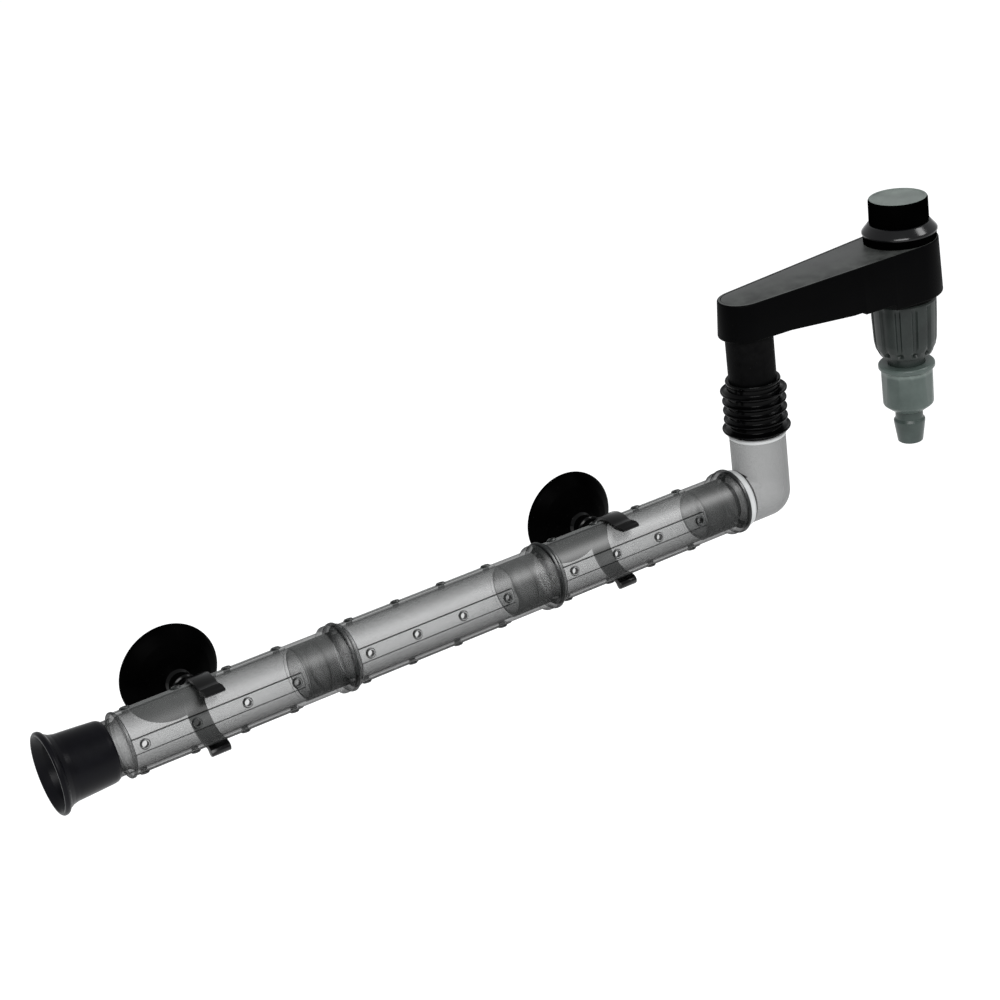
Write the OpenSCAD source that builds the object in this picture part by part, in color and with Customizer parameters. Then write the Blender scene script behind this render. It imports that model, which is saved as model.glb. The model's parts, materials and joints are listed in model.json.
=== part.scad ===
// Over-the-rim outlet kit of an aquarium canister filter.
// A hollow arm hooks over the tank's rim. Its outer leg takes the filter hose,
// its inner leg carries a rubber bellows, an elbow and a perforated spray bar
// in three push-fit sections with a flared end nozzle, held by two suction cups.
// Frame: +Z up, -X along the spray bar, +Y towards the glass that the cups hold.
// Origin: centre of the level land under the arm that rests on the rim.

/* [Arm] */
// Distance between the inner leg's axis and the outer leg's axis
leg_span = 82.5; // [78:0.5:90]
// Distance from the inner leg's axis to the middle of the rim land
seat_x = 58; // [56:0.5:58]
// Height of the rim land above the spray bar's axis
bar_drop = 66.5; // [64:0.5:68]
// Radius of the arm's nose in plan
nose_r = 11.2; // [10.5:0.1:12]
// Radius of the arm's outer end in plan
heel_r = 17.0; // [15:0.1:17.5]
// Wall of the arm's casing
arm_wall = 3.2; // [3:0.1:3.4]
// Thickness of the arm's top cover
cover_t = 1.6; // [1.2:0.1:2]
// Width of the casing's edge around the cover
cover_in = 2.4; // [1.9:0.1:2.6]
// Outside radius of the inner leg's tube
leg_r = 10.0; // [9.6:0.1:10.2]

/* [Filler cap] */
// Radius of the cap
cap_r = 12.6; // [12:0.1:13]
// Radius of the collar's flared rim
collar_r = 15.9; // [14.5:0.1:16.2]
// Outside radius of the collar's neck inside the cap
neck_r = 10.5; // [9.5:0.1:10.8]

/* [Hose fitting] */
// Outside radius of the ribbed lock nut at its top
lock_r = 14.1; // [13.6:0.1:14.4]
// Number of flutes on the lock nut
lock_flutes = 12; // [8:1:16]
// Radius over the union nut's top flange
union_r = 12.2; // [11.8:0.1:12.8]
// Number of flats on the union nut
union_flats = 12; // [8:1:12]
// Radius of the swivel coupler's tail
tail_r = 7.9; // [7.5:0.1:8.1]
// Radius over the hose barb's crest, for a hose of 12 mm bore
barb_r = 6.8; // [6.5:0.1:7]

/* [Bellows and elbow] */
// Radius over the bellows' middle rings
ring_r = 13.4; // [13:0.1:13.8]
// Radius over the bellows' end rings
end_ring_r = 14.3; // [13.8:0.1:14.5]
// Outside radius of the elbow
elbow_r = 11.8; // [11.4:0.1:12]

/* [Spray bar] */
// Outside radius of the bar's tube
tube_r = 12; // [11.8:0.1:12.2]
// Length of a section from its shoulder to its socket's mouth
section_l = 92.9; // [90:0.1:96]
// Clear gap between two sections' facing ends
joint_gap = 0.3; // [0.2:0.05:0.5]
// Outside radius of a section's spigot
spigot_r = 10.7; // [10.6:0.05:10.7]
// Length of a section's spigot
spigot_l = 19.5; // [17:0.5:19.5]
// Spray holes in each row of a section
holes_per_row = 4; // [2:1:4]
// Distance between two holes of a row
hole_pitch = 20.6; // [18:0.1:20.6]
// Radius of a spray hole
hole_r = 1.3; // [1:0.1:1.5]
// Rows of holes around a section: front, then below, then on top
rows = 3; // [1:1:3]
// Angle of the front row above the horizontal
row_az = 17; // [0:1:45]

/* [Nozzle] */
// Radius over the nozzle's rolled lip
lip_r = 15.9; // [14.5:0.1:17]
// Length of the nozzle
nozzle_l = 23.8; // [22:0.2:28]

/* [Clips and cups] */
// Radius of a suction cup's rim
cup_r = 20.2; // [18:0.1:22]
// Distance from the bar's axis to the glass
standoff = 36; // [35:0.5:42]
// Height of the cups' axis above the bar's axis
stud_z = 1.4; // [0:0.1:2]
// Width of a clip along the bar
clip_w = 8; // [6:0.5:9]
// Clear radius inside a clip
clip_in_r = 12.42; // [12.4:0.01:12.5]

/* [Hidden] */
$fn = 96;

fit = 0.05;            // radial running clearance of a push fit
arm_black = [0.06, 0.06, 0.065];
rubber_black = [0.03, 0.03, 0.035];
fitting_grey = [0.25, 0.30, 0.28];
smoke = [0.42, 0.43, 0.43];
frost = [0.62, 0.62, 0.62];

// The frame of the construction below: the crossing of the bar's axis and the
// inner leg's axis. place() moves it into the part's own frame.
module place() translate([-seat_x, 0, -bar_drop]) children();
module on_heel() place() translate([leg_span, 0, 0]) children();

land_z = bar_drop;                     // level of the rim land
nose_x = -1.8;                         // centre of the nose's arc
nose_z = land_z + 3.8;                 // underside at the nose
heel_z = land_z - 2.6;                 // underside of the heel block
top_a = land_z + 19.4;                 // top face at the nose
top_b = land_z + 21.9;                 // top face at the heel
x_a = -20;                             // stations of the two heights above
x_b = leg_span + 20;
function top_at(x) = top_a + (top_b - top_a) * (x - x_a) / (x_b - x_a);
heel_top = top_at(leg_span);
leg_bot = 43;                          // lower end of the inner leg's tube
socket_bot = 48.2;                     // lower end of the outer leg's tube
socket_r = 11.2;                       // its outside radius
socket_in = 9.05;                      // its bore
bel_bot = 27;                          // lower face of the bellows
bel_top = 50.6;                        // its upper face
elbow_top = 26.6;                      // shoulder under the bellows
elbow_end = 34;                        // end of the elbow's upright spigot
mouth_r = -16;                         // right-hand mouth of the bar
row_turn = [0, 90, -90];               // angle of each row of holes from the front one

// ---- helpers ----
// Solid of revolution about the bar: points are [radius, distance along +X].
module along_bar(pts) rotate([0, 90, 0]) rotate_extrude() polygon(pts);
// Solid of revolution about a leg: points are [radius, height].
module upright(pts) rotate_extrude() polygon(pts);
module ring_x(x, r, t) translate([x, 0, 0]) rotate([0, 90, 0])
    rotate_extrude() translate([r, 0]) circle(r = t, $fn = 48);
module ring_z(z, r, t) translate([0, 0, z])
    rotate_extrude() translate([r, 0]) circle(r = t, $fn = 48);

// ---- arm ----
// Plan of the arm: two arcs joined by their common tangents, inset by d.
module arm_plan(d) {
    a = nose_r - d;
    b = heel_r - d;
    s = (heel_r - nose_r) / (leg_span - nose_x);
    c = sqrt(1 - s * s);
    e = 0.005;                         // the straight sides end just inside the arcs
    translate([nose_x, 0]) circle(r = a);
    translate([leg_span, 0]) circle(r = b);
    polygon([[nose_x - a * s, a * c - e], [leg_span - b * s, b * c - e],
             [leg_span - b * s, e - b * c], [nose_x - a * s, e - a * c]]);
}
// Side view of the arm between its underside and its top, each moved by d.
module arm_side(lift, drop) rotate([90, 0, 0])
    translate([0, 0, -40]) linear_extrude(80)
        polygon([[x_a, nose_z + lift], [13, nose_z + lift],
                 [44, land_z + 1.2 + lift], [50, land_z + 1.2 + lift],
                 [50.4, land_z + lift], [65.6, land_z + lift],
                 [66, heel_z + lift], [x_b, heel_z + lift],
                 [x_b, top_b - drop], [x_a, top_a - drop]]);
module arm_slab(d, lift, drop) intersection() {
    translate([0, 0, 30]) linear_extrude(90) arm_plan(d);
    arm_side(lift, drop);
}
module arm_casing() color(arm_black) place() {
    difference() {
        union() {
            arm_slab(0, 0, 0);
            // inner leg, which the bellows is pushed onto
            translate([0, 0, leg_bot]) cylinder(r = leg_r, h = nose_z + 1 - leg_bot);
            // outer leg, which the hose coupler pushes into
            translate([leg_span, 0, socket_bot])
                cylinder(r = socket_r, h = heel_z + 1 - socket_bot);
            translate([leg_span, 0, heel_z - 1.9])
                cylinder(r = 14.3, h = 2.9);
        }
        // water channel
        arm_slab(arm_wall, arm_wall, cover_t);
        // rebate of the cover
        intersection() {
            translate([0, 0, 30]) linear_extrude(90) arm_plan(cover_in);
            rotate([90, 0, 0]) translate([0, 0, -40]) linear_extrude(80)
                polygon([[x_a, top_a - cover_t], [x_b, top_b - cover_t],
                         [x_b, top_b + 5], [x_a, top_a + 5]]);
        }
        translate([0, 0, leg_bot - 1]) cylinder(r = leg_r - 1.7, h = nose_z + 5 - leg_bot);
        translate([leg_span, 0, socket_bot - 1])
            cylinder(r = socket_in, h = heel_z + 5 - socket_bot);
    }
}
// The same plan as one outline, for the cover.
function plan_points(d) = let (q = 90 + asin((heel_r - nose_r) / (leg_span - nose_x)), n = 48) concat(
    [for (i = [0:n]) let (t = -q + i * 2 * q / n)
        [leg_span + (heel_r - d) * cos(t), (heel_r - d) * sin(t)]],
    [for (i = [0:n]) let (t = q + i * (360 - 2 * q) / n)
        [nose_x + (nose_r - d) * cos(t), (nose_r - d) * sin(t)]]);
module arm_cover() color([0.2, 0.2, 0.2]) place() difference() {
    intersection() {
        translate([0, 0, 30]) linear_extrude(90) polygon(plan_points(cover_in + 0.02));
        rotate([90, 0, 0]) translate([0, 0, -40]) linear_extrude(80)
            polygon([[x_a, top_a - cover_t], [x_b, top_b - cover_t],
                     [x_b, top_b], [x_a, top_a]]);
    }
    translate([leg_span, 0, 60]) cylinder(r = neck_r + 0.03, h = 60);
}
// Collar: a neck through the cover, with a drum and a flared rim under the cap.
module neck_collar() color(rubber_black) on_heel() upright([
    [8.2, heel_top - 5], [neck_r, heel_top - 5], [neck_r, heel_top + 0.4],
    [collar_r - 0.5, heel_top + 0.4], [collar_r - 0.4, heel_top + 3.3],
    [collar_r, heel_top + 3.7], [collar_r, heel_top + 4.4],
    [collar_r - 0.4, heel_top + 4.9], [13.2, heel_top + 7.5], [12.8, heel_top + 7.7],
    [neck_r, heel_top + 7.7], [neck_r, heel_top + 13.9], [8.2, heel_top + 13.9]]);
module filler_cap() color(arm_black) on_heel() {
    z = heel_top + 8.1;
    t = heel_top + 18.3;
    upright([[neck_r + 0.1, z], [cap_r - 0.3, z], [cap_r, z + 0.3],
             [cap_r - 0.1, t - 0.8], [cap_r - 0.35, t - 0.25], [cap_r - 0.9, t],
             [cap_r - 1.6, t], [cap_r - 1.9, t - 0.25], [0, t - 0.25],
             [0, t - 2.9], [neck_r + 0.1, t - 2.9]]);
}
module cap_seal() color(rubber_black) on_heel() upright([
    [8.2, heel_top + 13.95], [neck_r - 0.1, heel_top + 13.95],
    [neck_r - 0.1, heel_top + 15.3], [8.2, heel_top + 15.3]]);

// ---- hose fitting on the outer leg ----
module ribbed_lock_nut() color(fitting_grey) on_heel() {
    t = heel_z - 2.3;
    difference() {
        upright([[socket_r + 0.1, t], [lock_r - 0.5, t], [lock_r, t - 0.6],
                 [lock_r - 0.2, t - 8], [lock_r - 0.7, 43], [lock_r - 1.3, 39.8],
                 [lock_r - 2.9, 36.6], [lock_r - 3.3, 36.4],
                 [tail_r + fit, 36.4], [tail_r + fit, 45.1], [socket_r + 0.1, 45.1]]);
        for (i = [0:lock_flutes - 1]) rotate(i * 360 / lock_flutes + 8)
            translate([lock_r - 0.95, -0.9, 30]) cube([3, 1.8, t - 33]);
        // hollows between the ribs at the lower edge
        for (i = [0:lock_flutes - 1]) rotate(i * 360 / lock_flutes + 8)
            translate([lock_r - 1.4, 0, 36.4]) rotate([0, 25, 0])
                cylinder(r = 1.6, h = 7, center = true, $fn = 48);
    }
}
module hose_coupler() color([0.1, 0.12, 0.12]) on_heel() difference() {
    upright([[5.6, 19.2], [tail_r - 0.4, 19.2], [tail_r, 19.6], [tail_r, 45.2],
             [10.8, 45.2], [10.8, 48], [9, 48], [9, 55.2], [8.0, 55.2], [8.0, 56.8],
             [9, 56.8], [9, 61.4], [8.5, 62], [5.6, 62]]);
}
module coupler_o_ring() color(rubber_black) on_heel() ring_z(56, 8.5, 0.5);
module union_nut() color(fitting_grey) on_heel() difference() {
    union() {
        upright([[7, 29.6], [union_r - 0.7, 29.6], [union_r, 30.1], [union_r, 31.5],
                 [union_r - 0.5, 32.1], [7, 32.1]]);
        intersection() {
            translate([0, 0, 13]) cylinder(r = 11.3, h = 17, $fn = union_flats);
            upright([[0, 10], [6.6, 10], [10.9, 13.2], [11.3, 29.7], [0, 29.7]]);
        }
        upright([[0, 10], [6.6, 10], [10.3, 13], [10.3, 14], [0, 14]]);
    }
    translate([0, 0, 16]) cylinder(r = tail_r + fit, h = 20);
    translate([0, 0, 5]) cylinder(r = 6.06, h = 20);
}
module union_washer() color(rubber_black) on_heel() upright([
    [4.9, 17.65], [7.5, 17.65], [7.5, 19.1], [4.9, 19.1]]);
// Barb: a flange that the union nut pulls up, a neck and one tapered barb.
module hose_barb() color(fitting_grey) on_heel() upright([
    [4.6, 16.1], [4.6, -4.8], [5.2, -4.8], [5.5, -4.5], [barb_r, 4.2],
    [barb_r, 5.4], [6.0, 6.3], [6.0, 16.1], [7.6, 16.1], [7.6, 17.6], [4.6, 17.6]]);

// ---- bellows and elbow ----
module bellows() color(rubber_black) place() {
    rings = [[28.7, end_ring_r], [32.8, ring_r], [36.9, ring_r], [41.0, ring_r], [45.4, end_ring_r - 0.4]];
    rotate_extrude() union() {
        difference() {
            polygon([[10.25, bel_bot], [12.6, bel_bot], [12.2, bel_bot + 1.2],
                     [11.7, 31], [11.7, 47], [11.2, 49.6], [11.6, bel_top - 0.4],
                     [11.2, bel_top], [leg_r + fit, bel_top], [leg_r + fit, 43.6],
                     [10.25, 43]]);
            for (r = [rings[1], rings[2], rings[3]])
                polygon([[10, r[0] - 1.2], [11, r[0] - 0.5], [11, r[0] + 0.5], [10, r[0] + 1.2]]);
        }
        for (r = rings) {
            translate([r[1] - 0.65, r[0]]) circle(r = 0.65, $fn = 32);
            polygon([[11.4, r[0] - 1.5], [12.2, r[0] - 0.95], [r[1] - 0.65, r[0] - 0.65],
                     [r[1] - 0.65, r[0] + 0.65], [12.2, r[0] + 0.95], [11.4, r[0] + 1.5]]);
        }
    }
}
module elbow() color(frost) place() difference() {
    union() {
        upright([[0, 0], [elbow_r, 0], [elbow_r, elbow_top - 1.4], [elbow_r + 0.35, elbow_top - 1.1],
                 [elbow_r + 0.35, elbow_top - 0.3], [elbow_r, elbow_top], [10.2, elbow_top],
                 [10.2, elbow_end - 0.5], [9.8, elbow_end], [0, elbow_end]]);
        sphere(r = elbow_r);
        along_bar([[0, 0], [elbow_r - 0.1, 0], [elbow_r - 0.1, mouth_r + 4.6],
                   [11, mouth_r + 4.6], [11, mouth_r + 3.6], [12.4, mouth_r + 3.4],
                   [12.5, mouth_r + 0.6], [12.2, mouth_r + joint_gap], [spigot_r, mouth_r + joint_gap],
                   [spigot_r, mouth_r - 10.2], [9.45, mouth_r - 10.2], [9.45, mouth_r - 11.8],
                   [spigot_r, mouth_r - 11.8], [spigot_r, mouth_r - spigot_l + 0.5],
                   [spigot_r - 0.4, mouth_r - spigot_l], [0, mouth_r - spigot_l]]);
    }
    sphere(r = 8.8);
    cylinder(r = 8.8, h = elbow_end + 1);
    rotate([0, -90, 0]) cylinder(r = 8.8, h = 60);
}
module elbow_o_ring() color(rubber_black) place() ring_x(mouth_r - 11, 10.08, 0.6);

// ---- spray bar ----
// One section; x is the place of its socket's mouth, and the bar runs to -X.
module section(x) {
    l = section_l;
    z0 = hole_pitch * (holes_per_row - 1);
    first = 5.9;                       // first hole from the shoulder
    translate([x - l, 0, 0]) difference() {
        union() {
            along_bar([[9.2, -spigot_l], [spigot_r - 0.4, -spigot_l], [spigot_r, 0.5 - spigot_l],
                       [spigot_r, -11.8], [9.45 + 0.3, -11.8], [9.45 + 0.3, -10.2], [spigot_r, -10.2],
                       [spigot_r, 0], [12.5, 0], [12.8, 0.3], [12.8, 1.2], [12.5, 1.5],
                       [12.1, 1.7], [tube_r, 2.4],
                       [tube_r, l - 6], [tube_r + 0.5, l - 5.6], [tube_r + 1.35, l - 4.8],
                       [tube_r + 1.5, l - 4.2], [tube_r + 1.5, l - 2.4], [tube_r + 1.1, l - 2.1],
                       [tube_r + 1.1, l - 1.8], [tube_r + 1.8, l - 1.5], [tube_r + 1.9, l - 1.1],
                       [tube_r + 1.9, l - 0.4], [tube_r + 1.6, l],
                       [10.75, l], [10.75, l - 20], [10.45, l - 20.3], [10.45, 2.5], [9.2, 1]]);
            for (k = [0:rows - 1]) rotate([-row_az + 90 + row_turn[k], 0, 0]) {
                // raised strip between the first and the last hole
                intersection() {
                    translate([first - 4.6, -2.8, 11]) cube([z0 + 7.6, 5.6, 9]);
                    rotate([0, 90, 0]) cylinder(r = tube_r + 0.34, h = l - 6.2);
                }
                for (i = [0:holes_per_row - 1]) translate([first + i * hole_pitch, 0, 10.9])
                    cylinder(r = 2.1, h = tube_r + 0.95 - 10.9);
            }
        }
        for (k = [0:rows - 1]) rotate([-row_az + 90 + row_turn[k], 0, 0])
            for (i = [0:holes_per_row - 1]) translate([first + i * hole_pitch, 0, 8])
                cylinder(r = hole_r, h = 8);
        // clear bore through everything that stands inside the wall
        translate([2.5, 0, 0]) rotate([0, 90, 0]) cylinder(r = 10.45, h = l);
    }
}
pitch = section_l + joint_gap;
module spray_section_right() color(smoke) place() section(mouth_r);
module spray_section_middle() color(smoke) place() section(mouth_r - pitch);
module spray_section_left() color(smoke) place() section(mouth_r - 2 * pitch);
module section_o_ring_right() color(rubber_black) place()
    ring_x(mouth_r - pitch + joint_gap - 11, 10.23, 0.45);
module section_o_ring_left() color(rubber_black) place()
    ring_x(mouth_r - 2 * pitch + joint_gap - 11, 10.23, 0.45);

// Nozzle: a sleeve over the last spigot, flared to a rolled lip.
bar_end = mouth_r - 3 * pitch + joint_gap;       // left-hand shoulder
noz = bar_end - 4.2;                             // right-hand end of the nozzle
module trumpet_nozzle() color(rubber_black) place() translate([noz, 0, 0]) {
    e = -nozzle_l;
    along_bar([[spigot_r + fit, 0], [11.2, 0], [11.8, -1.2], [12, -1.8],
               [12.4, -8], [12.9, e + 7], [13.4, e + 4.9], [14.4, e + 3],
               [lip_r - 0.4, e + 2.2], [lip_r, e + 1.6], [lip_r, e + 0.7], [lip_r - 0.4, e + 0.15],
               [lip_r - 0.9, e], [lip_r - 1.4, e + 0.2], [13.6, e + 1.4], [12.3, e + 3.4],
               [11.5, e + 6.4], [spigot_r + fit, e + 7]]);
}

// ---- clips and suction cups ----
// Each clip sits between the second and the third hole of its section.
function clip_x(i) = mouth_r - i * 2 * pitch - section_l + 5.9 + 1.5 * hole_pitch
                     - (i == 0 ? 2.8 : 1.2);
// Outline of a clip seen along the bar, drawn with the glass to the right. The
// upper lip sweeps forward over the tube, the lower one is a short thumb tab.
module clip_outline() {
    t = 1.7;
    ro = clip_in_r + t;
    up = 112;
    low = 100;
    difference() {
        union() {
            circle(r = ro);
            translate([10, stud_z - 4.4]) square([7, 8.8]);
            rotate(up) translate([clip_in_r, 0])
                polygon([[-1, -1], [t, -1], [t + 0.5, 1.2], [4.3, 5.6], [4.1, 6.6], [3.3, 7], [0.6, 2.8], [-1, 1]]);
            rotate(-low) translate([clip_in_r, 0])
                polygon([[-1, 1], [t, 1], [t + 0.6, 0.2], [3.4, -0.4], [3.4, -3], [2, -3.6], [0.6, -2.6], [-1, -1.6]]);
            rotate(-low) translate([clip_in_r + 3, -1.7]) circle(r = 1.6, $fn = 48);
        }
        circle(r = clip_in_r);
        polygon([[0, 0], [30 * cos(up + 4), 30 * sin(up + 4)], [-40, 30],
                 [-40, -30], [30 * cos(low + 4), -30 * sin(low + 4)]]);
    }
    rotate(up) translate([clip_in_r, 0])
        polygon([[0.05, 0], [t, 0], [t + 0.5, 1.2], [4.3, 5.6], [4.1, 6.6], [3.3, 7], [0.9, 2.8], [0.3, 1.4]]);
    rotate(-low) translate([clip_in_r, 0])
        polygon([[0.05, 0], [t, 0], [t + 0.6, 0.2], [3.4, -0.4], [3.4, -3], [2, -3.6], [0.9, -2.6], [0.3, -1.2]]);
    rotate(-low) translate([clip_in_r + 3, -1.7]) circle(r = 1.6, $fn = 48);
}
module clip(x) translate([x, 0, 0]) {
    translate([-clip_w / 2, 0, 0]) rotate([90, 0, 90]) linear_extrude(clip_w) clip_outline();
    // grip ridges on the upper lip
    for (k = [0:2]) rotate([112, 0, 0]) translate([0, clip_in_r + 2.5 + k * 0.85, 2.3 + k * 1.2])
        rotate([0, 90, 0]) cylinder(r = 0.5, h = clip_w, center = true, $fn = 24);
    // stud that the cup's neck pushes onto
    translate([0, 16.5, stud_z]) rotate([-90, 0, 0]) {
        cylinder(r = 4.2, h = 2);
        cylinder(r = 3, h = 10);
    }
}
// Suction cup: points are [radius, distance from the bar's axis].
module cup(x) translate([x, 0, stud_z]) rotate([-90, 0, 0]) translate([0, 0, standoff - 36]) upright([
    [3.05, 18.9], [4.9, 18.9], [5.5, 19.4], [5.6, 20.4], [5, 21.3], [4.5, 22],
    [4.5, 25], [5.2, 26.4], [7.4, 27.4], [11, 28.5], [15.2, 30.6], [cup_r - 1.6, 33.3],
    [cup_r - 0.5, 34.4], [cup_r, 35.2], [cup_r, 35.8], [cup_r - 0.25, 36],
    [cup_r - 1.6, 36], [cup_r - 2.2, 35.4], [14.4, 32.8], [10, 31.2],
    [5, 30.5], [0, 30.3], [0, 27], [3.05, 27]]);
module clip_right() color(arm_black) place() clip(clip_x(0));
module clip_left() color(arm_black) place() clip(clip_x(1));
module suction_cup_right() color(rubber_black) place() cup(clip_x(0));
module suction_cup_left() color(rubber_black) place() cup(clip_x(1));

arm_casing();
arm_cover();
neck_collar();
filler_cap();
cap_seal();
ribbed_lock_nut();
hose_coupler();
coupler_o_ring();
union_nut();
union_washer();
hose_barb();
bellows();
elbow();
elbow_o_ring();
spray_section_right();
spray_section_middle();
spray_section_left();
section_o_ring_right();
section_o_ring_left();
trumpet_nozzle();
clip_right();
clip_left();
suction_cup_right();
suction_cup_left();
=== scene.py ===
import json
import math

import bpy
from mathutils import Matrix, Vector

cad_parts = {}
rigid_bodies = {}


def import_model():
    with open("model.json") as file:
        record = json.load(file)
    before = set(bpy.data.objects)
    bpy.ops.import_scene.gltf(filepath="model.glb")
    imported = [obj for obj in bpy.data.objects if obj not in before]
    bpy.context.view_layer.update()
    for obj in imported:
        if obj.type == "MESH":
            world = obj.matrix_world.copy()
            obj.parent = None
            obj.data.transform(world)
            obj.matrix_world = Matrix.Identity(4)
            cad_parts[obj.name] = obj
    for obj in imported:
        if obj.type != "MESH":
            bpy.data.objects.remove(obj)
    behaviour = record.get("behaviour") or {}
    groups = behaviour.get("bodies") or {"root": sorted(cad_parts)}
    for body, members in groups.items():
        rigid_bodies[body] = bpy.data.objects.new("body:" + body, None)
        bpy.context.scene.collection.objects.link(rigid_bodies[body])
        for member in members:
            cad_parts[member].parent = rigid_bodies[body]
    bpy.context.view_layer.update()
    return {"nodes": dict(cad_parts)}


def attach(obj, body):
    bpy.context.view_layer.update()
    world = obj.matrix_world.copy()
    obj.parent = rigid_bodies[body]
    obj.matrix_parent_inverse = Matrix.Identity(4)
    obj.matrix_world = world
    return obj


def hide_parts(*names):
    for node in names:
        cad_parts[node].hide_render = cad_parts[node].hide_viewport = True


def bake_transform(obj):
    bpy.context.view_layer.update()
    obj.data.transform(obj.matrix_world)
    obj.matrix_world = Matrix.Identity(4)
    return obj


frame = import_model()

scene = bpy.context.scene

# Lengths below are in millimetres in the construction frame: the crossing of the
# bar's axis and the inner leg's axis. row() turns them into the part's own frame.
SX, BD = 58.0, 66.5
LEG = 82.5


def row(x, y, z):
    return Vector(((x - SX) / 1000.0, y / 1000.0, (z - BD) / 1000.0))


# ------------------------------------------------------------------ mesh tools
def link(name, verts, faces, smooth=35.0):
    me = bpy.data.meshes.new(name)
    me.from_pydata([tuple(v) for v in verts], [], faces)
    me.validate()
    me.update()
    ob = bpy.data.objects.new(name, me)
    scene.collection.objects.link(ob)
    shade(ob, smooth)
    return ob


def shade(ob, angle=35.0):
    me = ob.data
    me.polygons.foreach_set("use_smooth", [True] * len(me.polygons))
    me.set_sharp_from_angle(angle=math.radians(angle))
    me.update()


def rounded(points, closed=True, steps=5):
    """Points are (a, b) or (a, b, radius); each corner with a radius becomes an arc."""
    n = len(points)
    out = []
    for i, p in enumerate(points):
        r = p[2] if len(p) > 2 else 0.0
        if r <= 0 or (not closed and i in (0, n - 1)):
            out.append((p[0], p[1]))
            continue
        a = Vector(points[i - 1][:2])
        c = Vector(points[(i + 1) % n][:2])
        b = Vector(p[:2])
        u, v = (a - b), (c - b)
        lu, lv = u.length, v.length
        u.normalize()
        v.normalize()
        ang = math.acos(max(-1.0, min(1.0, u.dot(v))))
        if ang > math.pi - 0.02 or ang < 0.02 or lu < 1e-6 or lv < 1e-6:
            out.append((p[0], p[1]))
            continue
        cut = r / math.tan(ang / 2)
        lim = 0.48 * min(lu, lv)
        if cut > lim:
            cut = lim
            r = cut * math.tan(ang / 2)
        centre = b + (u + v).normalized() * (r / math.sin(ang / 2))
        s = b + u * cut - centre
        e = b + v * cut - centre
        turn = math.atan2(s.x * e.y - s.y * e.x, s.dot(e))
        k = max(2, int(steps * abs(turn) / (math.pi / 2) + 1.5))
        for j in range(k + 1):
            t = turn * j / k
            w = Vector((s.x * math.cos(t) - s.y * math.sin(t), s.x * math.sin(t) + s.y * math.cos(t)))
            out.append((centre.x + w.x, centre.y + w.y))
    return out


def revolve_data(profile, axis, centre, segs=144, closed=True, radius=None):
    """Rings of a profile [(r, h)] about an axis through centre. radius(r, h, theta) may change r."""
    verts, faces, rings = [], [], []
    for r, h in profile:
        ids = []
        if r < 1e-6:
            ids = [len(verts)]
            verts.append(place(axis, centre, 0.0, 0.0, h))
        else:
            for k in range(segs):
                t = 2 * math.pi * k / segs
                rr = radius(r, h, t) if radius else r
                ids.append(len(verts))
                verts.append(place(axis, centre, rr * math.cos(t), rr * math.sin(t), h))
        rings.append(ids)
    pairs = list(zip(rings, rings[1:]))
    if closed:
        pairs.append((rings[-1], rings[0]))
    for a, b in pairs:
        for k in range(segs):
            j = (k + 1) % segs
            if len(a) == 1 and len(b) == 1:
                break
            if len(a) == 1:
                faces.append((a[0], b[j], b[k]))
            elif len(b) == 1:
                faces.append((a[k], a[j], b[0]))
            else:
                faces.append((a[k], a[j], b[j], b[k]))
    return verts, faces


def place(axis, centre, u, v, h):
    cx, cy, cz = centre
    if axis == "z":
        return row(cx + u, cy + v, cz + h)
    if axis == "x":
        return row(cx + h, cy + u, cz + v)
    return row(cx + v, cy + h, cz + u)  # axis y


def fix_normals(ob):
    import bmesh
    bm = bmesh.new()
    bm.from_mesh(ob.data)
    bmesh.ops.recalc_face_normals(bm, faces=bm.faces[:])
    bm.to_mesh(ob.data)
    bm.free()


def revolve(name, profile, axis="z", centre=(0, 0, 0), segs=144, closed=True, steps=5, smooth=35.0, radius=None):
    v, f = revolve_data(rounded(profile, closed, steps), axis, centre, segs, closed, radius)
    ob = link(name, v, f, smooth)
    fix_normals(ob)
    shade(ob, smooth)
    return ob


def join(name, obs, smooth=35.0):
    bpy.ops.object.select_all(action="DESELECT")
    for o in obs:
        o.select_set(True)
    bpy.context.view_layer.objects.active = obs[0]
    bpy.ops.object.join()
    ob = bpy.context.view_layer.objects.active
    ob.name = name
    ob.data.name = name
    shade(ob, smooth)
    return ob


def cut(ob, other, how):
    """Boolean of two meshes, applied. Removes the other."""
    m = ob.modifiers.new("b", "BOOLEAN")
    m.operation = how
    m.object = other
    try:
        m.solver = "MANIFOLD"
    except TypeError:
        m.solver = "EXACT"
    apply_all(ob)
    bpy.data.objects.remove(other)
    return ob


def apply_all(ob):
    bpy.context.view_layer.update()
    dg = bpy.context.evaluated_depsgraph_get()
    me = bpy.data.meshes.new_from_object(ob.evaluated_get(dg))
    ob.modifiers.clear()
    ob.data = me
    return ob


def bevel(ob, width_mm, angle=35.0, segs=3):
    m = ob.modifiers.new("bevel", "BEVEL")
    m.width = width_mm / 1000.0
    m.segments = segs
    m.limit_method = "ANGLE"
    m.angle_limit = math.radians(angle)
    m.use_clamp_overlap = True
    apply_all(ob)
    return ob


# ------------------------------------------------------------------- materials
def new_material(name):
    m = bpy.data.materials.new(name)
    m.use_nodes = True
    nt = m.node_tree
    nt.nodes.clear()
    out = nt.nodes.new("ShaderNodeOutputMaterial")
    sh = nt.nodes.new("ShaderNodeBsdfPrincipled")
    nt.links.new(sh.outputs[0], out.inputs[0])
    return m, nt, sh, out


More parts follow.
